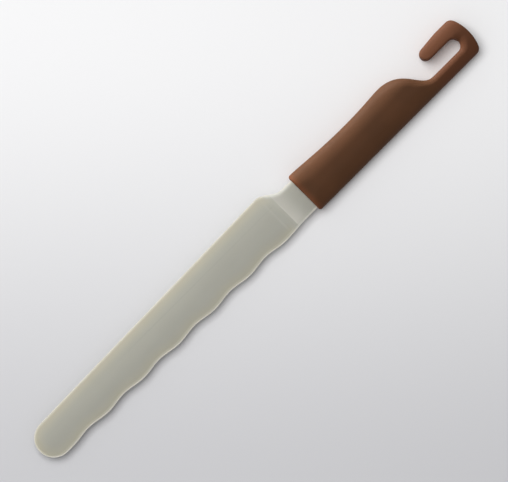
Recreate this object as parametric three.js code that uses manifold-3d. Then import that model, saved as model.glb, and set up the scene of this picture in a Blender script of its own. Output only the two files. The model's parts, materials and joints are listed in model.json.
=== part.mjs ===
// Cake release knife: a wavy-edged nylon blade, whose tang is moulded into an oval handle with a hook.
// Millimetres, +Z up. X runs from the blade's tip to the hook, and Y towards the blade's straight back.
// It is drawn with x = 0 at the handle's front face, y = 0 on the blade's axis and z = 0 on its mid-plane.

import * as THREE from 'three';
import { mergeVertices } from 'three/addons/utils/BufferGeometryUtils.js';
import Module from 'manifold-3d';

const wasm = await Module();
wasm.setup();

const { clamp, degToRad, lerp, mapLinear, smoothstep } = THREE.MathUtils;

// Blade in plan: distances from its axis, and along it from the tip or from the handle
const bladeReach = 172.3;
const tipRound = 8.9;
const backAtTip = 8.9;
const backAtHeel = 11.95;
const edgeAtTip = 8.85;
const edgeAtHeel = 11.5;
const waveDepth = 1.27;
const crestCount = 7;
const firstCrestFromTip = 12.9;
const lastCrestFromHandle = 21.8;

// Blade in section: two crowned faces that meet at a faint ridge, inside a full-round rim
const ridgeOffset = 3.8;
const ridgeThickness = 2.7;
const tipThickness = 2.3;
const edgeThickness = 1.7;
const faceCrown = 0.7;
const rimWidth = 1.0;

// Neck: the thicker root of the blade, reached by a hollow step on both faces and a shoulder on the back
const neckBack = 6.5;
const neckEdge = 11.35;
const neckThickness = 4.6;
const neckRim = 2;
const neckLength = 11.9;
const stepLength = 4.9;
const shoulderLength = 11.2;
const shoulderFromHandle = 6.6;

// Tang, inside the handle
const neckInHandle = 7;
const tangLength = 58;
const tangWidth = 12;
const tangThickness = 3.6;
const tangCorner = 2.5;
const lockHoleDiameter = 6;
const lockHoleCount = 2;
const lockHolePitch = 20;
const lockHoleFromEnd = 11;

// Gap between the two mouldings
const clearance = 0.3;

// Handle in plan
const handleLength = 107.7;
const wallOverNeckBack = 2.05;
const wallOverNeckEdge = 1.95;
const frontCorner = 1.4;
const waistDepth = 1.63;
const waistFromBump = 22.5;
const bumpDepth = 0.7;
const throatSpan = 23;
const throatFromArm = 2;

// Hook in plan
const spineWidth = 7.05;
const slotWidth = 6.6;
const armWidth = 7.3;
const armTipWidth = 6.4;
const armLength = 18.1;
const endWall = 6.4;
const endRadius = 25.5;
const endCorner = 2.2;

// Handle in section: a flat land above and below, elliptical sides, and fillets where an edge is cut
const handleThickness = 12;
const hookThickness = 9.8;
const landWidth = 4;
const slotFillet = 3.8;
const edgeFillet = 0.8;

// The handle's front is lower and has a wider land, and runs out into the grip
const frontThickness = 10.4;
const frontLandWidth = 9;
const frontRun = 7;

// How long each outline curve stays level at its start and its end, as shares of its length
const waistEase = [0.2, 0.53];
const bumpEase = [0.6, 0.2];
const throatEase = [0.7, 0.35];
const armEase = [0.3, 0.1];

// Fineness of the facets: steps along each curve, and the end facet of a round tip as a share of a step
const filletSteps = 4;
const stepsPerWave = 10;
const roundSteps = 7;
const holeSteps = 16;
const edgeFaceSteps = 4;
const backFaceSteps = 3;
const sideSteps = 3;
const landSteps = 2;
const waistSteps = 9;
const bumpSteps = 6;
const throatSteps = 20;
const spineSteps = 5;
const hookEndSteps = 28;
const armSteps = 6;
const tipFacet = 0.4;

// Limits on where the land's two edges fall across the handle, and on a fillet's share of the height there
const landStartLimits = [0.25, 0.42];
const landEndLimits = [0.58, 0.75];
const filletLimit = 0.7;
const leanLimit = 2;

// Limits on where the blade's ridge falls across its face
const ridgeLimits = [0.4, 0.8];

// How far in from an elliptical side its points crowd, and the most of a line across that one side may take
const sideReach = 3.2;
const sideLimit = 0.35;

// Places that follow from the sizes
const tipX = -bladeReach;
const tipCentreX = tipX + tipRound;
const firstCrestX = tipX + firstCrestFromTip;
const lastCrestX = -lastCrestFromHandle;
const wavePitch = (lastCrestX - firstCrestX) / (crestCount - 1);
const neckStartX = -shoulderFromHandle;
const heelX = neckStartX - shoulderLength;
const stepTopX = -neckLength;
const stepFootX = stepTopX - stepLength;
const tangY = (neckBack - neckEdge) / 2;

const handleFloorY = -neckEdge - wallOverNeckEdge;
const handleFrontY = neckBack + wallOverNeckBack;
const slotFloorY = handleFloorY + spineWidth;
const slotRadius = slotWidth / 2;
const slotCentre = new THREE.Vector2(handleLength - endWall - slotRadius, slotFloorY + slotRadius);
const slotRoofY = slotFloorY + slotWidth;
const armTopY = slotRoofY + armWidth;
const armTipRadius = armTipWidth / 2;
const armTipX = slotCentre.x + slotRadius - armLength;
const armTipCentre = new THREE.Vector2(armTipX + armTipRadius, slotRoofY + armTipRadius);
const throatX = armTipX - throatFromArm;
const bumpX = throatX - throatSpan;
const waistX = bumpX - waistFromBump;

// Solids and lofts

/** A manifold solid of a closed geometry, with shared corners merged and collapsed facets dropped. */
function solid(geometry) {
  const bare = geometry.clone();
  bare.deleteAttribute('normal');
  bare.deleteAttribute('uv');
  const merged = mergeVertices(bare, 1e-4);
  const corners = merged.index.array;
  const triVerts = [];
  for (let i = 0; i < corners.length; i += 3) {
    const [a, b, c] = corners.slice(i, i + 3);
    if (a !== b && b !== c && c !== a) triVerts.push(a, b, c);
  }
  const vertProperties = new Float32Array(merged.attributes.position.array);
  const mesh = new wasm.Mesh({ numProp: 3, vertProperties, triVerts: new Uint32Array(triVerts) });
  return new wasm.Manifold(mesh);
}

/** The faceted geometry of a manifold solid. */
function facets(body) {
  const { vertProperties, triVerts } = body.getMesh();
  const geometry = new THREE.BufferGeometry();
  geometry.setAttribute('position', new THREE.BufferAttribute(new Float32Array(vertProperties), 3));
  geometry.setIndex(new THREE.BufferAttribute(new Uint32Array(triVerts), 1));
  geometry.computeVertexNormals();
  return geometry;
}

/** A closed ring over a line of plan points: out along the upper face and back along its mirror below. */
function ring(points, heightAt) {
  const above = points.map((p) => new THREE.Vector3(p.x, p.y, heightAt(p)));
  const below = above.map((p) => new THREE.Vector3(p.x, p.y, -p.z)).reverse();
  return [...above, ...below];
}

/** The closed skin through rings of equal length, capped by strips across the first and the last. */
function loft(rings) {
  const size = rings[0].length;
  const last = rings.length - 1;
  const at = (i, j) => i * size + (j % size);
  const index = [];
  const quad = (a, b, c, d) => index.push(a, b, c, a, c, d);
  for (let i = 0; i < last; i++) {
    for (let j = 0; j < size; j++) quad(at(i, j), at(i + 1, j), at(i + 1, j + 1), at(i, j + 1));
  }
  for (let j = 0; j < size / 2 - 1; j++) {
    quad(at(0, j), at(0, j + 1), at(0, size - 2 - j), at(0, size - 1 - j));
    quad(at(last, j), at(last, size - 1 - j), at(last, size - 2 - j), at(last, j + 1));
  }
  const geometry = new THREE.BufferGeometry().setFromPoints(rings.flat());
  geometry.setIndex(index);
  return geometry;
}

/** A flat plan shape extruded evenly above and below the mid-plane. */
function plate(shape, thickness) {
  const settings = { depth: thickness, bevelEnabled: false, curveSegments: holeSteps };
  return new THREE.ExtrudeGeometry(shape, settings).translate(0, 0, -thickness / 2);
}

/** The least distance from a plan point to a line through plan points. */
function distanceTo(line, p) {
  const nearest = new THREE.Vector3();
  const from = new THREE.Vector3(p.x, p.y, 0);
  const stretch = new THREE.Line3();
  let least = Infinity;
  for (let i = 0; i + 1 < line.length; i++) {
    stretch.start.set(line[i].x, line[i].y, 0);
    stretch.end.set(line[i + 1].x, line[i + 1].y, 0);
    stretch.closestPointToPoint(from, true, nearest);
    least = Math.min(least, nearest.distanceTo(from));
  }
  return least;
}

/** Numbers from the first break to the last, with every break among them and no step above maxStep. */
function spread(breaks, maxStep) {
  const sorted = [...breaks].sort((p, q) => p - q);
  const values = [sorted[0]];
  for (let i = 0; i + 1 < sorted.length; i++) {
    const gap = sorted[i + 1] - sorted[i];
    const steps = Math.ceil(gap / maxStep);
    for (let k = 1; k <= steps; k++) values.push(sorted[i] + (gap * k) / steps);
  }
  return values;
}

/** Numbers at even steps from a start, without the end. */
function evenSteps(start, end, count) {
  return Array.from({ length: count }, (_, k) => lerp(start, end, k / count));
}

/** How far in from an edge each point of a fillet lies: close together where it is steep. */
function filletDepths(radius) {
  const depthAt = (k) => radius * (1 - Math.cos((k / filletSteps) * (Math.PI / 2)));
  return Array.from({ length: filletSteps + 1 }, (_, k) => depthAt(k));
}

/** Height of a quarter round, as a share of its full height, at a depth in from its edge. */
function roundShare(depth, radius) {
  const left = 1 - clamp(depth / radius, 0, 1);
  return Math.sqrt(1 - left * left);
}

// Blade

const backTaper = (x) => mapLinear(x, tipCentreX, heelX, backAtTip, backAtHeel);
const edgeTaper = (x) => mapLinear(x, tipCentreX, heelX, edgeAtTip, edgeAtHeel);

/** Share of its full width that the blade has in the round of its tip. */
const tipShare = (x) => roundShare(x - tipX, tipRound);

/** The wavy edge between its first crest and its last. */
function wave(x) {
  const phase = (2 * Math.PI * (x - firstCrestX)) / wavePitch;
  return -edgeTaper(x) - (waveDepth / 2) * Math.cos(phase);
}

/** The blade's wavy side: the round of the tip, the crests, and an easy run into the neck. */
function edgeLine(x) {
  if (x < firstCrestX) return wave(firstCrestX) * tipShare(x);
  if (x < lastCrestX) return wave(x);
  return lerp(wave(lastCrestX), -neckEdge, smoothstep(x, lastCrestX, neckStartX));
}

/** The blade's straight back: the round of the tip, the taper, and the shoulder down to the neck. */
function backLine(x) {
  if (x < heelX) return backTaper(x) * tipShare(x);
  return lerp(backAtHeel, neckBack, smoothstep(x, heelX, neckStartX));
}

/** How far the hollow step has risen: nothing on the blade, everything on the neck. */
const stepRise = (x) => clamp((x - stepFootX) / stepLength, 0, 1) ** 2;

/** Half the thickness of the blade and neck, before the rim is rounded. */
function bladeHalf(x, y) {
  const ridge = lerp(tipThickness, ridgeThickness, clamp(mapLinear(x, tipX, heelX, 0, 1), 0, 1));
  const faceWidth = y > ridgeOffset ? backTaper(x) - ridgeOffset : edgeTaper(x) + ridgeOffset;
  const across = clamp(Math.abs(y - ridgeOffset) / faceWidth, 0, 1);
  const fall = lerp(across, across ** 2, faceCrown);
  return lerp(lerp(ridge, edgeThickness, fall), neckThickness, stepRise(x)) / 2;
}

/** Plan points across the blade at x: rim, face up to the ridge, face down to the back, rim. */
function bladeAcross(x, low, high, rim) {
  const depths = filletDepths(Math.min(rim, (high - low) / 3));
  const inset = depths[filletSteps];
  const faceAt = (share) => lerp(low + inset, high - inset, share);
  const ridge = clamp(ridgeOffset, ...ridgeLimits.map(faceAt));
  const edgeFace = evenSteps(low + inset, ridge, edgeFaceSteps).slice(1);
  const backFace = evenSteps(ridge, high - inset, backFaceSteps);
  const backRim = depths.map((depth) => high - depth).reverse();
  const ys = [...depths.map((depth) => low + depth), ...edgeFace, ...backFace, ...backRim];
  return ys.map((y) => new THREE.Vector2(x, y));
}

/** The blade with its neck, as far as the neck runs into the handle. */
function bladeAndNeck() {
  const stations = [];
  for (let k = 0; k < roundSteps; k++) {
    const angle = ((k + tipFacet) / roundSteps) * (Math.PI / 2);
    stations.push(tipCentreX - tipRound * Math.cos(angle));
  }
  const breaks = [tipCentreX, firstCrestX, lastCrestX, stepFootX, stepTopX, heelX, neckStartX, neckInHandle];
  stations.push(...spread(breaks, wavePitch / stepsPerWave));
  const outline = [
    ...stations.map((x) => new THREE.Vector2(x, edgeLine(x))).reverse(),
    new THREE.Vector2(tipX, 0),
    ...stations.map((x) => new THREE.Vector2(x, backLine(x))),
  ];
  const rings = stations.map((x) => {
    const rim = lerp(rimWidth, neckRim, stepRise(x));
    const height = (p) => bladeHalf(p.x, p.y) * roundShare(distanceTo(outline, p), rim);
    return ring(bladeAcross(x, edgeLine(x), backLine(x), rim), height);
  });
  return solid(loft(rings));
}

/** The neck's straight part, grown all round by a gap, from before the handle to the neck's inner end. */
function neckSocket(gap) {
  const low = -neckEdge - gap;
  const high = neckBack + gap;
  const rim = neckRim + gap;
  const height = (p) => (neckThickness / 2 + gap) * roundShare(Math.min(p.y - low, high - p.y), rim);
  const ends = [-frontCorner, neckInHandle + gap];
  return solid(loft(ends.map((x) => ring(bladeAcross(x, low, high, rim), height))));
}

/** The tang, grown all round by a gap: its two lock holes shrink by the same gap. */
function tang(gap) {
  const endX = tangLength + gap;
  const half = tangWidth / 2 + gap;
  const corner = tangCorner + gap;
  const shape = new THREE.Shape();
  shape.moveTo(neckInHandle / 2, tangY - half);
  shape.lineTo(endX - corner, tangY - half);
  shape.absarc(endX - corner, tangY - half + corner, corner, -Math.PI / 2, 0);
  shape.absarc(endX - corner, tangY + half - corner, corner, 0, Math.PI / 2);
  shape.lineTo(neckInHandle / 2, tangY + half);
  shape.closePath();
  for (let k = 0; k < lockHoleCount; k++) {
    const hole = new THREE.Path();
    const x = tangLength - lockHoleFromEnd - k * lockHolePitch;
    hole.absarc(x, tangY, lockHoleDiameter / 2 - gap, 0, 2 * Math.PI);
    shape.holes.push(hole);
  }
  return solid(plate(shape, tangThickness + 2 * gap));
}

// Handle

/** A curve that leaves and arrives level, held level for a share of its length at each end. */
function levelCurve(start, end, [startShare, endShare]) {
  const run = end.x - start.x;
  const leave = new THREE.Vector2(start.x + startShare * run, start.y);
  const arrive = new THREE.Vector2(end.x - endShare * run, end.y);
  return new THREE.CubicBezierCurve(start, leave, arrive, end);
}

/** Points of a round about a centre, from one angle to another in degrees. */
function roundPoints(centre, radius, from, to, steps) {
  return new THREE.EllipseCurve(centre.x, centre.y, radius, radius, degToRad(from), degToRad(to), to < from)
    .getPoints(steps);
}

/** The grip's upper outline, from the front corner over waist and bump and down into the hook's throat. */
function gripBack() {
  const front = new THREE.Vector2(frontCorner, handleFrontY);
  const waist = new THREE.Vector2(waistX, handleFrontY - waistDepth);
  const bump = new THREE.Vector2(bumpX, handleFrontY - bumpDepth);
  const throat = new THREE.Vector2(throatX, slotFloorY);
  const cornerCentre = new THREE.Vector2(frontCorner, handleFrontY - frontCorner);
  return [
    ...roundPoints(cornerCentre, frontCorner, 180, 90, filletSteps),
    ...levelCurve(front, waist, waistEase).getPoints(waistSteps).slice(1),
    ...levelCurve(waist, bump, bumpEase).getPoints(bumpSteps).slice(1),
    ...levelCurve(bump, throat, throatEase).getPoints(throatSteps).slice(1),
  ];
}

/** The handle's lower outline at x: a straight edge with a round corner at the front. */
function gripFloor(x) {
  return handleFloorY + frontCorner * (1 - roundShare(x, frontCorner));
}

/** The outside of the hook's end, from the straight lower edge round to the top of the arm. */
function hookEnd() {
  const middleY = (handleFloorY + armTopY) / 2;
  const halfHeight = (armTopY - handleFloorY) / 2;
  const centreX = handleLength - endRadius;
  const endX = (y) => centreX + Math.sqrt(endRadius ** 2 - (y - middleY) ** 2);
  const swing = Math.asin((halfHeight - endCorner) / endRadius);
  const cornerX = endX(armTopY);
  const path = new THREE.Path();
  path.moveTo(slotCentre.x, handleFloorY);
  path.lineTo(cornerX - endCorner, handleFloorY);
  path.quadraticCurveTo(cornerX, handleFloorY, endX(handleFloorY + endCorner), handleFloorY + endCorner);
  path.absarc(centreX, middleY, endRadius, -swing, swing);
  path.quadraticCurveTo(cornerX, armTopY, cornerX - endCorner, armTopY);
  path.lineTo(slotCentre.x, armTopY);
  return path;
}

/** Lines across the handle in plan, from its outside in, from the front face to the tip of the arm. */
function handleLines() {
  const lines = gripBack().map((inner) => [new THREE.Vector2(inner.x, gripFloor(inner.x)), inner]);
  for (let k = 1; k < spineSteps; k++) {
    const x = lerp(throatX, slotCentre.x, k / spineSteps);
    lines.push([new THREE.Vector2(x, handleFloorY), new THREE.Vector2(x, slotFloorY)]);
  }
  const slotEnd = roundPoints(slotCentre, slotRadius, -90, 90, hookEndSteps);
  const outside = hookEnd().getSpacedPoints(hookEndSteps);
  slotEnd.forEach((inner, k) => lines.push([outside[k], inner]));
  const tipTop = new THREE.Vector2(armTipCentre.x, armTipCentre.y + armTipRadius);
  const rootTop = new THREE.Vector2(slotCentre.x, armTopY);
  const armTop = levelCurve(rootTop, tipTop, armEase).getPoints(armSteps).slice(1);
  armTop.forEach((outer) => lines.push([outer, new THREE.Vector2(outer.x, slotRoofY)]));
  for (let k = 1; k < roundSteps; k++) {
    const angle = (k / (roundSteps - tipFacet)) * 90;
    const [outer] = roundPoints(armTipCentre, armTipRadius, 90 + angle, 180, 1);
    const [inner] = roundPoints(armTipCentre, armTipRadius, 270 - angle, 180, 1);
    lines.push([outer, inner]);
  }
  return lines;
}

const gripTop = gripBack().filter((p) => p.x >= frontCorner && p.x <= bumpX);

/** The upper limit of the handle's oval section at x: the grip's outline, then a level run over the hook. */
function ovalTop(x) {
  const last = gripTop.length - 1;
  if (x <= frontCorner) return gripTop[0].y;
  if (x >= bumpX) return lerp(gripTop[last].y, armTopY, smoothstep(x, bumpX, armTipX));
  const next = gripTop.findIndex((p) => p.x >= x);
  const [before, after] = [gripTop[Math.max(next - 1, 0)], gripTop[Math.max(next, 1)]];
  return mapLinear(x, before.x, after.x, before.y, after.y);
}

const ovalMiddle = (x) => (ovalTop(x) + handleFloorY) / 2;

/** Half the width of the handle's flat land at x. */
const landReach = (x) => lerp(frontLandWidth, landWidth, smoothstep(x, 0, frontRun)) / 2;

/** Half the thickness of the handle over its flat land: less at the front face and at the end of the hook. */
function landHalf(x) {
  const front = lerp(frontThickness, handleThickness, roundShare(x, frontRun));
  return lerp(front, hookThickness, smoothstep(x, bumpX, handleLength)) / 2;
}

/** Height of the handle's oval section, before an edge is filleted: level over the land, then an ellipse. */
function ovalHeight(p) {
  const sideWidth = (ovalTop(p.x) - handleFloorY) / 2 - landReach(p.x);
  const past = Math.max(0, Math.abs(p.y - ovalMiddle(p.x)) - landReach(p.x));
  return landHalf(p.x) * roundShare(sideWidth - past, sideWidth);
}

/** The share of a line across over which its points crowd at one end: a cut edge's fillet or an oval side. */
function crowding(end, fillet, lean, length) {
  const cut = clamp(ovalHeight(end) / landHalf(end.x), 0, 1);
  return Math.min((lerp(sideReach, fillet, cut) * lean) / length, sideLimit);
}

/** Plan points along a line across the handle: side or fillet, land, and side or fillet. */
function handleAcross([outer, inner], [outerLean, innerLean], innerFillet) {
  const length = outer.distanceTo(inner);
  const start = crowding(outer, edgeFillet, outerLean, length);
  const end = 1 - crowding(inner, innerFillet, innerLean, length);
  const shareAt = (y) => mapLinear((y - outer.y) / (inner.y - outer.y), start, end, 0, 1);
  const middleX = (outer.x + inner.x) / 2;
  const landStart = clamp(shareAt(ovalMiddle(middleX) - landReach(middleX)), ...landStartLimits);
  const landEnd = clamp(shareAt(ovalMiddle(middleX) + landReach(middleX)), ...landEndLimits);
  const between = [
    ...evenSteps(0, landStart, sideSteps).slice(1),
    ...evenSteps(landStart, landEnd, landSteps),
    ...evenSteps(landEnd, 1, sideSteps),
  ];
  const shares = [
    ...filletDepths(start),
    ...between.map((share) => lerp(start, end, share)),
    ...filletDepths(1 - end).map((depth) => 1 - depth).reverse(),
  ];
  return shares.map((share) => outer.clone().lerp(inner, share));
}

/** How much further a depth lies along a line across the handle than square to its outline there. */
function lean(outline, i, across) {
  const before = outline[Math.max(i - 1, 0)];
  const after = outline[Math.min(i + 1, outline.length - 1)];
  const along = after.clone().sub(before).normalize();
  const square = Math.abs(along.cross(across.clone().normalize()));
  return Math.min(1 / square, leanLimit);
}

/** The handle's outer form: one oval and filleted loft that runs along the grip and round the hook. */
function handleBody() {
  const lines = handleLines();
  const outer = lines.map(([point]) => point);
  const inner = lines.map(([, point]) => point);
  const bump = inner.findIndex((p) => p.x >= bumpX);
  const slotEnd = inner.findIndex((p) => p.x > slotCentre.x && p.y > slotCentre.y);
  const slotSide = inner.slice(bump, slotEnd);
  const otherSides = [...inner.slice(slotEnd - 1), ...[...outer].reverse(), ...inner.slice(0, bump + 1)];
  const drop = (p, line, radius, oval) => {
    const fillet = Math.min(radius, filletLimit * oval);
    return fillet * (1 - roundShare(distanceTo(line, p), radius));
  };
  const height = (p) => {
    const oval = ovalHeight(p);
    return oval - Math.max(drop(p, slotSide, slotFillet, oval), drop(p, otherSides, edgeFillet, oval));
  };
  const rings = lines.map((line, i) => {
    const across = line[1].clone().sub(line[0]);
    const leans = [lean(outer, i, across), lean(inner, i, across)];
    return ring(handleAcross(line, leans, i < slotEnd ? slotFillet : edgeFillet), height);
  });
  return solid(loft(rings));
}

// Assembly

const knife = new THREE.Group();
knife.name = 'cake_release_knife';

/** Adds one named piece to the knife. */
function addPiece(name, body, colour, roughness) {
  const material = new THREE.MeshStandardMaterial({ color: colour, roughness, metalness: 0 });
  const mesh = new THREE.Mesh(facets(body), material);
  mesh.name = name;
  knife.add(mesh);
}

addPiece('blade', bladeAndNeck().add(tang(0)), 0xb8b2a2, 0.4);
addPiece('handle', handleBody().subtract(neckSocket(clearance)).subtract(tang(clearance)), 0x5a3a26, 0.5);

// The knife lies on its handle, with the origin under the middle of its box
const box = new THREE.Box3().setFromObject(knife);
const middle = box.getCenter(new THREE.Vector3());
knife.position.set(-middle.x, -middle.y, -box.min.z);

export default knife;
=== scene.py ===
"""Looks of a cake release knife: an ivory nylon blade in a brown moulded handle with an open hook.

Metres, in the frame of the solids: +X runs from the blade's tip to the hook, +Y towards the blade's
straight back, and +Z up. The knife lies on its handle, and the camera looks straight down on it.
"""

import json
import logging
import math
from dataclasses import dataclass
from enum import Enum
from typing import Any, ClassVar, Union

import bmesh
import bpy
from mathutils import Color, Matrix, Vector
from mathutils.kdtree import KDTree

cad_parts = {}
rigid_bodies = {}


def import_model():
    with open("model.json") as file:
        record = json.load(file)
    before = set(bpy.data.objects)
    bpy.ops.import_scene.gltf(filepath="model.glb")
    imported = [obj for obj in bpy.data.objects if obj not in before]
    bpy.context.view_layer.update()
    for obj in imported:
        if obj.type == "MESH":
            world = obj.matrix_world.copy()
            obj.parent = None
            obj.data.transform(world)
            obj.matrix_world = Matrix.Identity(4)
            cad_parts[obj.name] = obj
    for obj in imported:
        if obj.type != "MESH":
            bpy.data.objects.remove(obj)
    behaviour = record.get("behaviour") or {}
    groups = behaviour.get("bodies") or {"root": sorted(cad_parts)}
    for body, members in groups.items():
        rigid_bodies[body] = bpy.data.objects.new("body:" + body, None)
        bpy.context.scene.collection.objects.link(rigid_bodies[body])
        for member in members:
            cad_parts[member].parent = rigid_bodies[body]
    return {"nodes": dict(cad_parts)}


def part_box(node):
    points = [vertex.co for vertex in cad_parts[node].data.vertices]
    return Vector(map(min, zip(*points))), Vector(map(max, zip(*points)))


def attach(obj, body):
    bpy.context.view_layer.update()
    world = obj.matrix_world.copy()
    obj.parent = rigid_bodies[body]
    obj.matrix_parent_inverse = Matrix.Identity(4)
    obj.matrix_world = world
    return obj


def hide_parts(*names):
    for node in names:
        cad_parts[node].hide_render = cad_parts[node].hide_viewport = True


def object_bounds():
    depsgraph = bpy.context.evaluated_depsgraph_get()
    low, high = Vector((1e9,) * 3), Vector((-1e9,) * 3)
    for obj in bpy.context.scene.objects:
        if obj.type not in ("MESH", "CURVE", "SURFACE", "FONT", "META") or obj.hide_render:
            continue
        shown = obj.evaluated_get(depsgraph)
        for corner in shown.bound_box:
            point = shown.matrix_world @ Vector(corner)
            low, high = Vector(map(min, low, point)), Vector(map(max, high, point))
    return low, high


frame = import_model()
CAD_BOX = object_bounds()
MID_HEIGHT = (CAD_BOX[0].z + CAD_BOX[1].z) / 2

LOG = logging.getLogger("release_knife")
BODY = "root"
MILLIMETRE = 0.001
FULL_BYTE = 255
NOISE_MIDDLE = 0.5
RIM_DEPTH = "rim_depth"

Colour = tuple[float, float, float]
Place = tuple[float, float, float]
Stretch = tuple[float, float, float]
Limits = tuple[float, float]
SocketKey = Union[int, str]
Owner = Union[bpy.types.Material, bpy.types.World]
Term = Union["Socket", float]
Tint = Union["Socket", Colour]

BLACK: Colour = (0, 0, 0)


def linear(red: int, green: int, blue: int) -> Colour:
    """Turns a colour from 8-bit display values into the linear values that shaders use."""
    display = Color((red / FULL_BYTE, green / FULL_BYTE, blue / FULL_BYTE))
    return tuple(display.from_srgb_to_scene_linear())


class Maths(Enum):
    """The sums that a Math node does here."""

    ADD = "ADD"
    SUBTRACT = "SUBTRACT"
    MULTIPLY = "MULTIPLY"
    ABSOLUTE = "ABSOLUTE"


class Axis(Enum):
    """The directions of the frame."""

    ALONG = "X"
    ACROSS = "Y"
    UP = "Z"


class Ray(Enum):
    """The rays that show the camera what lies far off."""

    CAMERA = "Is Camera Ray"
    GLOSSY = "Is Glossy Ray"
    TRANSMISSION = "Is Transmission Ray"


class Slot(Enum):
    """The record's material slots."""

    BLADE = "blade_nylon"
    HANDLE = "handle_plastic"


class Socket:
    """An output of a shader node. Sums on it add Math nodes."""

    def __init__(self, graph: "Graph", output: bpy.types.NodeSocket) -> None:
        """Keeps the output, and the graph that its sums go into."""
        self.graph = graph
        self.output = output

    def __add__(self, other: Term) -> "Socket":
        """This value plus another."""
        return self.graph.maths(Maths.ADD, self, other)

    def __radd__(self, other: Term) -> "Socket":
        """Another value plus this one."""
        return self.graph.maths(Maths.ADD, other, self)

    def __sub__(self, other: Term) -> "Socket":
        """This value less another."""
        return self.graph.maths(Maths.SUBTRACT, self, other)

    def __rsub__(self, other: Term) -> "Socket":
        """Another value less this one."""
        return self.graph.maths(Maths.SUBTRACT, other, self)

    def __mul__(self, other: Term) -> "Socket":
        """This value times another."""
        return self.graph.maths(Maths.MULTIPLY, self, other)

    def __rmul__(self, other: Term) -> "Socket":
        """Another value times this one."""
        return self.graph.maths(Maths.MULTIPLY, other, self)

    def __abs__(self) -> "Socket":
        """The size of this value, without its sign."""
        return self.graph.maths(Maths.ABSOLUTE, self)


class Graph:
    """The shader nodes of one material or of the world, which start with one plain shader."""

    OPAQUE: ClassVar[float] = 1
    # The numbers of a Mix node's sockets: its two colours, and the colour between them.
    MIX_COLOURS: ClassVar[tuple[int, int]] = (6, 7)
    MIX_RESULT: ClassVar[int] = 2

    def __init__(self, owner: Owner, shader: str = "Principled BSDF") -> None:
        """Starts the nodes.

        Args:
            owner: The material or the world that the nodes belong to.
            shader: The name of the shader that they start with.
        """
        owner.use_nodes = True
        self.tree = owner.node_tree
        self.shader = self.tree.nodes[shader]

    def feed(self, socket: bpy.types.NodeSocket, term: Any) -> None:
        """Gives a socket a link or a plain value.

        Args:
            socket: The input that is fed.
            term: An output to link to it, or a number, a colour or a vector.
        """
        if isinstance(term, Socket):
            self.tree.links.new(term.output, socket)
        else:
            socket.default_value = term

    def node(
        self, kind: str, settings: dict[str, Any], sockets: dict[SocketKey, Any], output: SocketKey = 0
    ) -> Socket:
        """Adds a node.

        Args:
            kind: The node's type.
            settings: What is set on the node itself, before its sockets.
            sockets: A value or a link for each named or numbered input.
            output: The name or the number of the output to return.

        Returns:
            One of the node's outputs.
        """
        made = self.tree.nodes.new(kind)
        for name, value in settings.items():
            setattr(made, name, value)
        for name, term in sockets.items():
            self.feed(made.inputs[name], term)
        return Socket(self, made.outputs[output])

    def maths(self, operation: Maths, *terms: Term) -> Socket:
        """Adds a Math node on one or two terms."""
        return self.node("ShaderNodeMath", {"operation": operation.value}, dict(enumerate(terms)))

    def place(self) -> Socket:
        """The place of a point of the surface, in metres."""
        return self.node("ShaderNodeTexCoord", {}, {}, "Object")

    def reach(self, axis: Axis) -> Socket:
        """How far a point of the surface lies along one direction, in metres."""
        return self.node("ShaderNodeSeparateXYZ", {}, {"Vector": self.place()}, axis.value)

    def distance(self) -> Socket:
        """How far a point of the surface lies from the origin, in metres."""
        return self.node("ShaderNodeVectorMath", {"operation": "LENGTH"}, {0: self.place()}, "Value")

    def seen(self) -> Socket:
        """A value of 1 or more for what the camera sees, straight or in gloss, and 0 for other light."""
        return sum(self.node("ShaderNodeLightPath", {}, {}, ray.value) for ray in Ray)

    def attribute(self, name: str) -> Socket:
        """A value that the mesh of the piece carries."""
        return self.node("ShaderNodeAttribute", {"attribute_name": name}, {}, "Fac")

    def noise(self, grain: float, stretch: Stretch = (1, 1, 1), layers: float = 2) -> Socket:
        """Soft noise over the surface.

        Args:
            grain: The size of one blotch, in metres.
            stretch: How many times longer than that it is along each axis.
            layers: How many finer layers lie over it.

        Returns:
            A value from about 0.3 to 0.7.
        """
        scale = tuple(1 / share for share in stretch)
        placed = self.node("ShaderNodeMapping", {}, {"Vector": self.place(), "Scale": scale})
        sockets = {"Vector": placed, "Scale": 1 / grain, "Detail": layers}
        return self.node("ShaderNodeTexNoise", {}, sockets, "Fac")

    def mix(self, factor: Socket, first: Tint, second: Tint) -> Socket:
        """Goes from one colour to another.

        Args:
            factor: How far to go, from 0 to 1. Values past 1 count as 1.
            first: The colour at 0, or a link to it.
            second: The colour at 1, or a link to it.

        Returns:
            The colour between them.
        """
        terms = [tint if isinstance(tint, Socket) else (*tint, self.OPAQUE) for tint in (first, second)]
        sockets = {"Factor": factor, **dict(zip(self.MIX_COLOURS, terms))}
        return self.node("ShaderNodeMix", {"data_type": "RGBA"}, sockets, self.MIX_RESULT)

    def spread(self, value: Socket, low: float, high: float) -> Socket:
        """Stretches the values between two limits over 0 to 1, and holds the rest there."""
        sockets = {"Value": value, "From Min": low, "From Max": high}
        return self.node("ShaderNodeMapRange", {"interpolation_type": "SMOOTHSTEP"}, sockets)

    def near(self, away: Socket, reach: float) -> Socket:
        """A value of 1 where a distance is nothing, which fades to 0 at a reach on either side."""
        return 1 - self.spread(abs(away), 0, reach)

    def bump(self, height: Socket, depth: float) -> Socket:
        """Turns a height from 0 to 1 into a relief of that depth in metres."""
        return self.node("ShaderNodeBump", {}, {"Height": height, "Distance": depth}, "Normal")

    def dress(self, **terms: Any) -> None:
        """Feeds the shader's own sockets, whose names are written with _ for a space."""
        for name, term in terms.items():
            self.feed(self.shader.inputs[name.replace("_", " ")], term)


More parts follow.
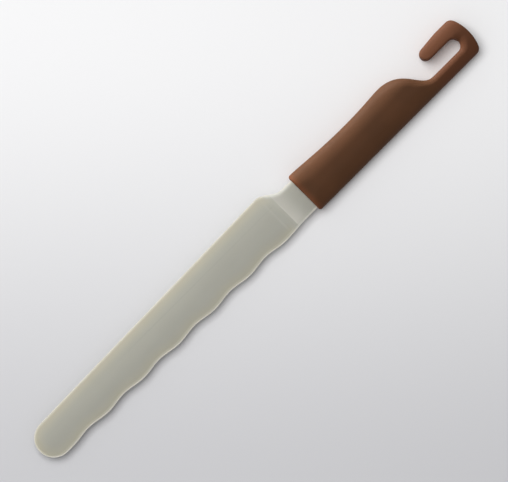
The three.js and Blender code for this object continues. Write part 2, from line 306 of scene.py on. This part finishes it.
@dataclass(frozen=True)
class PartingLine:
    """The hairline that the two halves of a mould leave round a moulding at its mid-plane."""

    half_width: float = 0.07 * MILLIMETRE

    def mask(self, graph: Graph) -> Socket:
        """A value of 1 on the line, which fades to 0 beside it."""
        return graph.near(graph.reach(Axis.UP) - MID_HEIGHT, self.half_width)


@dataclass(frozen=True)
class NylonFinish:
    """Satin ivory-grey nylon that lets a little light through.

    It is painted palest along the back, where the low lights reach it, with painted shade towards the
    wavy edge. Past the step, a painted glow of light through the deeper nylon of the neck gives way to
    painted shade towards the handle. Its rim carries a painted glow of light through the thin nylon,
    with a painted yellowish glow of scattered light inside it, lit at the back and in painted shade at
    the wavy edge, and the lit back of the neck carries a painted highlight. Faint flow marks run along
    the blade, a painted shade line runs along its ridge, and a pale line marks the foot of its step.
    """

    blade: "Blade"
    line: PartingLine = PartingLine()
    # Lit and shaded copies of the face: painted light along the back, painted shade towards the wavy
    # edge.
    pale: Colour = linear(178, 177, 166)
    dark: Colour = linear(162, 161, 152)
    painted_shade_fall: float = 22 * MILLIMETRE
    # A painted shade line along the ridge crease.
    ridge_shade_share: float = 0.35
    ridge_shade_width: float = 0.5 * MILLIMETRE
    ridge_shade_limits: Limits = (-115 * MILLIMETRE, -80 * MILLIMETRE)
    foot_share: float = 0.25
    foot_width: float = 0.9 * MILLIMETRE
    # A painted glow of light through the neck past the step, which gives way to painted shade near the
    # handle.
    neck_glow: Colour = linear(187, 185, 176)
    neck_glow_edge: float = 0.4 * MILLIMETRE
    neck_glow_run: float = 9 * MILLIMETRE
    # Lit and shaded copies of a painted yellowish glow of light scattered in from the rim.
    rim_glow_lit: Colour = linear(191, 186, 167)
    rim_glow_shaded: Colour = linear(168, 165, 149)
    rim_glow_depth: float = 6.6 * MILLIMETRE
    # A painted glow of light through the thin rim.
    rim: Colour = linear(200, 197, 187)
    rim_depth: float = 1.4 * MILLIMETRE
    # A painted highlight along the lit back of the neck.
    neck_highlight: Colour = linear(216, 215, 207)
    neck_highlight_depth: float = 2.8 * MILLIMETRE
    flow_grain: float = 9 * MILLIMETRE
    flow_stretch: Stretch = (7, 1, 1)
    flow_shift: float = 12 * MILLIMETRE
    peel_grain: float = 0.5 * MILLIMETRE
    peel_layers: float = 1
    peel_depth: float = 0.006 * MILLIMETRE
    roughness: float = 0.45
    roughness_change: float = 0.1
    gloss: float = 0.1
    light_share: float = 0.5
    light_depth: float = 1.5 * MILLIMETRE
    light_reach: Colour = (1, 0.95, 0.8)

    def colour(self, graph: Graph, flow: Socket) -> Socket:
        """The nylon's colour over the blade.

        Args:
            graph: The material's nodes.
            flow: The flow marks.

        Returns:
            The colour.
        """
        across = graph.reach(Axis.ACROSS)
        along = graph.reach(Axis.ALONG) - self.blade.step_x
        depth = graph.attribute(RIM_DEPTH)
        drift = (flow - NOISE_MIDDLE) * self.flow_shift
        # Painted shade: 0 at the lit back, rising to 1 towards the wavy edge.
        painted_shade_fall = graph.spread(self.blade.back_y - across + drift, 0, self.painted_shade_fall)
        neck = graph.spread(along, -self.blade.step_length, 0)

        # The face, lit along the back and in painted shade towards the wavy edge, the painted shade line
        # along its ridge, the line of its step's foot, and the painted glow of light through the neck
        # past the step, which gives way to painted shade towards the handle.
        # Painted shade along the ridge crease, in the shaded face colour.
        ridge = graph.near(across - self.blade.ridge_y, self.ridge_shade_width) * self.ridge_shade_share
        ridge = ridge * graph.spread(along, *self.ridge_shade_limits) * (1 - neck)
        foot = graph.near(along + self.blade.step_length, self.foot_width) * self.foot_share
        # Painted light past the step, and painted shade over the last run towards the handle.
        neck_glow = graph.spread(along, -self.neck_glow_edge, 0) * (1 - graph.spread(along, 0, self.neck_glow_run))
        face = graph.mix(painted_shade_fall, self.pale, self.dark)
        face = graph.mix(ridge, face, self.dark)
        face = graph.mix(foot, face, self.neck_glow)
        face = graph.mix(neck_glow, face, self.neck_glow)

        # The painted glow of light scattered in from the rim, lighter at the lit back and in painted
        # shade at the wavy edge, the rim's own painted glow of light, and a painted highlight along
        # the lit back of the neck.
        rim_glow = graph.mix(painted_shade_fall, self.rim_glow_lit, self.rim_glow_shaded)
        banded = graph.mix(graph.near(depth, self.rim_glow_depth) * (1 - neck), face, rim_glow)
        # Painted light: the rim's glow through the thin nylon.
        rimmed = graph.mix(graph.near(depth, self.rim_depth), banded, self.rim)
        # Only the back of the neck, which faces the low lights, gets the painted highlight.
        lit_back = graph.spread(across, 0, self.blade.back_y) * neck
        return graph.mix(graph.near(depth, self.neck_highlight_depth) * lit_back, rimmed, self.neck_highlight)

    def material(self) -> bpy.types.Material:
        """Makes the blade's material.

        Returns:
            The material.
        """
        material = bpy.data.materials.new(Slot.BLADE.value)
        graph = Graph(material)
        flow = graph.noise(self.flow_grain, self.flow_stretch)
        peel = graph.noise(self.peel_grain, layers=self.peel_layers)
        graph.dress(
            Base_Color=self.colour(graph, flow),
            Roughness=self.roughness + (flow - NOISE_MIDDLE) * self.roughness_change,
            Normal=graph.bump(peel + self.line.mask(graph), self.peel_depth),
            Specular_IOR_Level=self.gloss,
            Subsurface_Weight=self.light_share,
            Subsurface_Radius=self.light_reach,
            Subsurface_Scale=self.light_depth,
        )
        return material


@dataclass(frozen=True)
class GripFinish:
    """Satin brown plastic with the fine even grain of an etched mould.

    It is redder in the slim hook. At its forward end, where a thin wall of it goes round the neck, the
    edge carries a painted red-brown highlight.
    """

    handle: "Handle"
    line: PartingLine = PartingLine()
    body: Colour = linear(76, 50, 33)
    bloom: Colour = linear(81, 53, 35)
    bloom_grain: float = 14 * MILLIMETRE
    bloom_limits: Limits = (0.3, 0.7)
    hook: Colour = linear(84, 52, 35)
    hook_reach: float = 34 * MILLIMETRE
    hook_run: float = 14 * MILLIMETRE
    # A painted highlight on the fillet of the handle's forward edge.
    front_highlight: Colour = linear(95, 58, 38)
    front_highlight_run: float = 3.5 * MILLIMETRE
    etch_grain: float = 0.35 * MILLIMETRE
    etch_depth: float = 0.02 * MILLIMETRE
    roughness: float = 0.62
    roughness_change: float = 0.12
    gloss: float = 0.05

    def material(self) -> bpy.types.Material:
        """Makes the handle's material.

        Returns:
            The material.
        """
        material = bpy.data.materials.new(Slot.HANDLE.value)
        graph = Graph(material)
        bloom = graph.noise(self.bloom_grain)
        etch = graph.noise(self.etch_grain)
        along = graph.reach(Axis.ALONG)
        hook_x = self.handle.end_x - self.hook_reach
        colour = graph.mix(graph.spread(bloom, *self.bloom_limits), self.body, self.bloom)
        colour = graph.mix(graph.spread(along, hook_x, hook_x + self.hook_run), colour, self.hook)
        # Painted highlight along the forward edge.
        colour = graph.mix(graph.near(along - self.handle.front_x, self.front_highlight_run), colour, self.front_highlight)
        graph.dress(
            Base_Color=colour,
            Roughness=self.roughness + (bloom - NOISE_MIDDLE) * self.roughness_change,
            Normal=graph.bump(etch + self.line.mask(graph), self.etch_depth),
            Specular_IOR_Level=self.gloss,
        )
        return material


@dataclass
class Moulding:
    """One moulded piece: its solid with the facets smoothed away."""

    node: ClassVar[str]
    slot: ClassVar[Slot]

    join_angle: float = math.radians(40)
    crisp_angle: float = math.radians(40)
    smoothing: int = 2
    merge_distance: float = 0.001 * MILLIMETRE

    @classmethod
    def piece_name(cls) -> str:
        """The name of the piece that stands for the solid."""
        return f"{cls.node}_moulding"

    def is_crisp(self, edge: bmesh.types.BMEdge) -> bool:
        """Whether an edge of the solid stays an edge."""
        return edge.calc_face_angle(0) > self.crisp_angle

    def mark(self, shape: bmesh.types.BMesh) -> None:
        """Adds the values that the finish reads from the mesh: none, unless a piece has its own."""

    def mesh(self) -> bpy.types.Mesh:
        """Copies the solid, joins its triangles, and creases the edges that stay crisp.

        Returns:
            The mesh, ready to be smoothed.
        """
        shape = bmesh.new()
        shape.from_mesh(frame["nodes"][self.node].data)
        bmesh.ops.remove_doubles(shape, verts=shape.verts, dist=self.merge_distance)
        bmesh.ops.join_triangles(
            shape,
            faces=shape.faces,
            angle_face_threshold=self.join_angle,
            angle_shape_threshold=self.join_angle,
        )
        crease = shape.edges.layers.float.new("crease_edge")
        for edge in shape.edges:
            edge[crease] = float(self.is_crisp(edge))
        for face in shape.faces:
            face.smooth = True
        self.mark(shape)
        mesh = bpy.data.meshes.new(self.piece_name())
        shape.to_mesh(mesh)
        shape.free()
        return mesh

    def build(self) -> bpy.types.Object:
        """Makes the piece from its solid.

        Returns:
            The piece, which stands for the solid and rides with it.
        """
        piece = bpy.data.objects.new(self.piece_name(), self.mesh())
        bpy.context.scene.collection.objects.link(piece)
        smooth = piece.modifiers.new("smooth", "SUBSURF")
        smooth.levels = self.smoothing
        smooth.render_levels = self.smoothing
        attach(piece, BODY)
        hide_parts(self.node)
        return piece

    def dress(self, piece: bpy.types.Object, material: bpy.types.Material) -> None:
        """Gives the piece its finish."""
        piece.data.materials.append(material)


@dataclass
class Blade(Moulding):
    """The blade with its neck: the ridge on its faces and the top of its step stay crisp lines."""

    node: ClassVar[str] = "blade"
    slot: ClassVar[Slot] = Slot.BLADE

    ridge_below_back: float = 8.15 * MILLIMETRE
    step_from_handle: float = 11.9 * MILLIMETRE
    step_length: float = 4.9 * MILLIMETRE
    line_reach: float = 0.05 * MILLIMETRE

    def __post_init__(self) -> None:
        """Works out where the back and the two lines lie."""
        self.back_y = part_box(self.node)[1].y
        self.ridge_y = self.back_y - self.ridge_below_back
        self.step_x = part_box(Handle.node)[0].x - self.step_from_handle

    def is_crisp(self, edge: bmesh.types.BMEdge) -> bool:
        """Whether an edge lies on the ridge or on the top of the step, or is sharp by itself.

        Args:
            edge: An edge of the solid.

        Returns:
            True if the edge stays an edge.
        """
        ends = [vertex.co for vertex in edge.verts]
        on_ridge = all(abs(end.y - self.ridge_y) < self.line_reach for end in ends)
        before_step = all(end.x < self.step_x for end in ends)
        on_step = all(abs(end.x - self.step_x) < self.line_reach for end in ends)
        return (on_ridge and before_step) or on_step or super().is_crisp(edge)

    def mark(self, shape: bmesh.types.BMesh) -> None:
        """Gives each vertex its distance in plan from the rim, whose own vertices lie on the mid-plane.

        Args:
            shape: The blade's mesh.
        """
        places = [vertex.co for vertex in shape.verts]
        rim = [place.xy.to_3d() for place in places if abs(place.z - MID_HEIGHT) < self.line_reach]
        tree = KDTree(len(rim))
        for index, place in enumerate(rim):
            tree.insert(place, index)
        tree.balance()
        depth = shape.verts.layers.float.new(RIM_DEPTH)
        for vertex in shape.verts:
            _, _, distance = tree.find(vertex.co.xy.to_3d())
            vertex[depth] = distance


@dataclass
class Handle(Moulding):
    """The handle with its hook."""

    node: ClassVar[str] = "handle"
    slot: ClassVar[Slot] = Slot.HANDLE

    def __post_init__(self) -> None:
        """Works out where the handle starts and ends."""
        self.front_x, self.end_x = (corner.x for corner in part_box(self.node))


@dataclass(frozen=True)
class Lamp:
    """A soft lamp, turned to the middle of the knife, with its power in watts.

    A lamp that names pieces is flagged off everything else, and casts no shadow.
    """

    name: str
    width: float
    height: float
    place: Place
    power: float
    pieces: tuple[type[Moulding], ...] = ()

    def hang(self) -> None:
        """Puts the lamp in the scene."""
        lamp = bpy.data.lights.new(self.name, "AREA")
        lamp.shape = "RECTANGLE"
        lamp.size = self.width
        lamp.size_y = self.height
        lamp.energy = self.power
        lamp.use_shadow = not self.pieces
        holder = bpy.data.objects.new(self.name, lamp)
        holder.location = self.place
        outwards = Vector(self.place) - Vector((0, 0, MID_HEIGHT))
        holder.rotation_euler = outwards.to_track_quat("Z", "Y").to_euler()
        holder.visible_camera = False
        bpy.context.scene.collection.objects.link(holder)
        if self.pieces:
            lit = bpy.data.collections.new(f"lit_by_{self.name}")
            for piece in self.pieces:
                lit.objects.link(bpy.data.objects[piece.piece_name()])
            holder.light_linking.receiver_collection = lit


# The main light, overhead and a little towards the back.
SOFT_BOX = Lamp(
    name="soft_box",
    width=0.6,
    height=0.6,
    place=(0, 0.32, 0.95),
    power=6.4,
)
# A long low light along the back.
WINDOW = Lamp(
    name="window",
    width=1.2,
    height=0.12,
    place=(0.3, 1.15, 0.11),
    power=5.6,
    pieces=(Blade, Handle),
)
# A small low light, nearer to the handle.
GRID_LIGHT = Lamp(
    name="grid_light",
    width=0.3,
    height=0.06,
    place=(0.1, 0.6, 0.02),
    power=7.6,
    pieces=(Handle,),
)
# A low light beyond the tip.
FRONT_LIGHT = Lamp(
    name="front_light",
    width=0.6,
    height=0.12,
    place=(-1.2, 0, 0.1),
    power=4.5,
    pieces=(Blade, Handle),
)
# A long low light along the wavy edge.
RIM_LIGHT = Lamp(
    name="rim_light",
    width=1.2,
    height=0.12,
    place=(-0.5, -1.1, 0.08),
    power=5.5,
    pieces=(Blade,),
)


@dataclass
class Studio:
    """A pale floor, a soft box overhead, low lights beside the knife, and the camera.

    The floor is painted palest under the handle, towards the top of the picture: a painted pool of
    light.
    Far from the knife, where the soft box doesn't reach, the floor and the room have one pale colour,
    which shows only to the camera and in gloss. The lens and the sensor are in millimetres, as cameras
    give them.
    """

    lamps: tuple[Lamp, ...] = (SOFT_BOX, WINDOW, GRID_LIGHT, FRONT_LIGHT, RIM_LIGHT)
    room_light: Colour = (0.36, 0.36, 0.36)
    floor_size: float = 40.0
    floor_gap: float = 0.02 * MILLIMETRE
    # The paper's grey, and the same paper painted lighter up the picture as a pool of light.
    floor_painted_lit: Colour = linear(252, 252, 253)
    floor_grey: Colour = linear(214, 214, 217)
    floor_limits: Limits = (-180 * MILLIMETRE, 150 * MILLIMETRE)
    floor_roughness: float = 0.9
    far_colour: Colour = linear(214, 214, 217)
    far_limits: Limits = (0.17, 0.6)
    full_strength: float = 1.0
    view_width: float = 237.07 * MILLIMETRE
    view_turn: float = math.radians(-45)
    aim_x: float = 0.26 * MILLIMETRE
    aim_y: float = -0.73 * MILLIMETRE
    lens: float = 200.0
    sensor: float = 36.0

    def paper(self) -> bpy.types.Material:
        """Makes the floor's pale paper.

        Returns:
            The material.
        """
        material = bpy.data.materials.new("floor_paper")
        graph = Graph(material)
        # The picture is turned by an eighth of a circle, so along plus across grows up the picture.
        up_picture = graph.reach(Axis.ALONG) + graph.reach(Axis.ACROSS)
        # Painted light: the paper goes from its grey to painted palest up the picture, a painted pool of
        # light.
        shade = graph.spread(up_picture, *self.floor_limits)
        far = graph.spread(graph.distance(), *self.far_limits) * graph.seen()
        graph.dress(
            Base_Color=graph.mix(far, graph.mix(shade, self.floor_grey, self.floor_painted_lit), BLACK),
            Roughness=self.floor_roughness,
            Emission_Color=graph.mix(far, BLACK, self.far_colour),
            Emission_Strength=self.full_strength,
        )
        return material

    def floor(self) -> None:
        """Lays the floor just under the knife."""
        shape = bmesh.new()
        bmesh.ops.create_grid(shape, x_segments=1, y_segments=1, size=self.floor_size / 2)
        bmesh.ops.translate(shape, verts=shape.verts, vec=(0, 0, CAD_BOX[0].z - self.floor_gap))
        mesh = bpy.data.meshes.new("floor")
        shape.to_mesh(mesh)
        shape.free()
        mesh.materials.append(self.paper())
        floor = bpy.data.objects.new("floor", mesh)
        bpy.context.scene.collection.objects.link(floor)

    def lights(self) -> None:
        """Lights the room evenly, gives it the far colour where it shows, and hangs the lamps."""
        world = bpy.data.worlds.new("soft_room")
        graph = Graph(world, "Background")
        colour = graph.mix(graph.seen(), self.room_light, self.far_colour)
        graph.dress(Color=colour, Strength=self.full_strength)
        bpy.context.scene.world = world
        for lamp in self.lamps:
            lamp.hang()

    def camera(self) -> None:
        """Sets the camera straight above the knife, which lies from lower left to upper right."""
        data = bpy.data.cameras.new("camera")
        data.lens = self.lens
        data.sensor_width = self.sensor
        camera = bpy.data.objects.new("camera", data)
        distance = self.view_width * self.lens / self.sensor
        camera.location = (self.aim_x, self.aim_y, MID_HEIGHT + distance)
        camera.rotation_euler = (0, 0, self.view_turn)
        bpy.context.scene.collection.objects.link(camera)
        bpy.context.scene.camera = camera


def main() -> None:
    """Builds the knife and the studio around it."""
    logging.basicConfig(level=logging.INFO, format="%(name)s: %(message)s")
    bpy.context.scene.view_settings.view_transform = "Standard"
    blade = Blade()
    handle = Handle()
    dressed = ((blade, NylonFinish(blade)), (handle, GripFinish(handle)))
    for moulding, finish in dressed:
        piece = moulding.build()
        moulding.dress(piece, finish.material())
        LOG.info("%s: %d faces before smoothing", piece.name, len(piece.data.polygons))
    studio = Studio()
    studio.floor()
    studio.lights()
    studio.camera()


if __name__ == "__main__":
    main()
